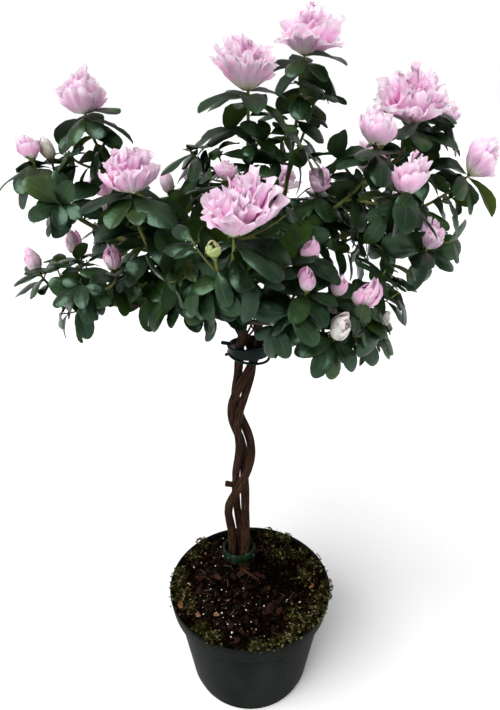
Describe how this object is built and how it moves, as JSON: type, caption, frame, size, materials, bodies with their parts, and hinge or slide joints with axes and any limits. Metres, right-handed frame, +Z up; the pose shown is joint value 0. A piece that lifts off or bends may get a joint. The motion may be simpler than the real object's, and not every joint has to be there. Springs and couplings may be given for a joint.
{
  "type": "potted azalea shrub",
  "caption": "Small evergreen azalea in bloom on a trunk of stems wound together, growing in a round plastic nursery pot filled with soil.",
  "frame": {"origin": "middle of the pot's flat underside, on the ground", "axes": "+Z up along the pot's axis; -Y towards the plant's front; +X to the right of a viewer who stands in front"},
  "size_m": [0.3442, 0.2798, 0.5749],
  "materials": {
    "pot": "satin dark grey-green moulded plastic",
    "soil": "moist dark peat with perlite, bark chips and moss",
    "bark": "rough fibrous reddish-brown bark",
    "bough": "thin smooth olive-brown bark",
    "foliage": "leathery dark green leaves with pale pink double blooms",
    "tie": "dark green plastic band",
    "clip": "translucent green plastic ring"
  },
  "bodies": {
    "root": {"pot": "pot", "soil": "soil", "stem_leading": "bark", "stem_second": "bark", "stem_third": "bark", "upper_tie": "tie", "foot_clip": "clip", "bough_top": "bough", "bough_top_front": "bough", "bough_left_high": "bough", "bough_left_tip": "bough", "bough_left_middle": "bough", "bough_left_low": "bough", "bough_front": "bough", "bough_right_high": "bough", "bough_right_middle": "bough", "bough_right_tip": "bough", "bough_middle": "bough", "bough_front_right": "bough", "bough_right_low": "bough", "bough_left_skirt": "bough", "bough_back_high": "bough", "bough_back_left": "bough", "bough_back_right": "bough", "bough_back_low": "bough", "foliage_top": "foliage", "foliage_top_front": "foliage", "foliage_left_high": "foliage", "foliage_left_tip": "foliage", "foliage_left_middle": "foliage", "foliage_left_low": "foliage", "foliage_front": "foliage", "foliage_right_high": "foliage", "foliage_right_middle": "foliage", "foliage_right_tip": "foliage", "foliage_middle": "foliage", "foliage_front_right": "foliage", "foliage_right_low": "foliage", "foliage_left_skirt": "foliage", "foliage_back_high": "foliage", "foliage_back_left": "foliage", "foliage_back_right": "foliage", "foliage_back_low": "foliage"}
  },
  "joints": []
}
